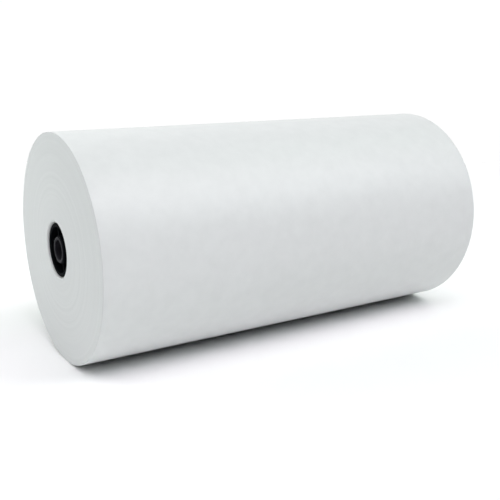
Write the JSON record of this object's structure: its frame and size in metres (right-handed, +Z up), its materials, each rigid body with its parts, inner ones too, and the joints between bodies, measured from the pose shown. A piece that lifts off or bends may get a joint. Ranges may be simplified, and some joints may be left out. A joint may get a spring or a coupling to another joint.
{
  "type": "tabletop backdrop paper roll",
  "caption": "Short, thick roll of white backdrop paper on a board core, with black spoked end plugs whose turning hub bushes take a crossbar, and a taped-down free end.",
  "frame": {"origin": "on the floor under the middle of the roll, at the bottom centre of its box", "axes": "+X along the roll's axis towards its right end, +Y towards the side where the free end lies, +Z up"},
  "size_m": [0.4572, 0.2281, 0.2284],
  "materials": {
    "paper": "matte",
    "tape": "satin",
    "core_board": "matte",
    "plug_plastic": "satin",
    "bush_plastic": "satin"
  },
  "bodies": {
    "roll": {"paper_winding": "paper", "core_tube": "core_board", "core_start_tape": "tape"},
    "free_end": {"paper_tail": "paper", "tail_tape_left": "tape", "tail_tape_right": "tape"},
    "left_end_plug": {"left_plug": "plug_plastic"},
    "right_end_plug": {"right_plug": "plug_plastic"},
    "left_bush": {"left_hub_bush": "bush_plastic"},
    "right_bush": {"right_hub_bush": "bush_plastic"}
  },
  "joints": [
    {"name": "tail_lift", "type": "hinge", "parent": "roll", "child": "free_end", "pos_m": [0, 0.02956, 0.22445], "axis": [1, 0, 0], "range_deg": [0, 80]},
    {"name": "left_plug_pull", "type": "slide", "parent": "roll", "child": "left_end_plug", "axis": [-1, 0, 0], "range_m": [0, 0.06]},
    {"name": "right_plug_pull", "type": "slide", "parent": "roll", "child": "right_end_plug", "axis": [1, 0, 0], "range_m": [0, 0.06]},
    {"name": "left_bush_spin", "type": "hinge", "parent": "left_end_plug", "child": "left_bush", "pos_m": [-0.2286, 0, 0.11414], "axis": [-1, 0, 0], "continuous": true},
    {"name": "right_bush_spin", "type": "hinge", "parent": "right_end_plug", "child": "right_bush", "pos_m": [0.2286, 0, 0.11414], "axis": [1, 0, 0], "continuous": true}
  ]
}
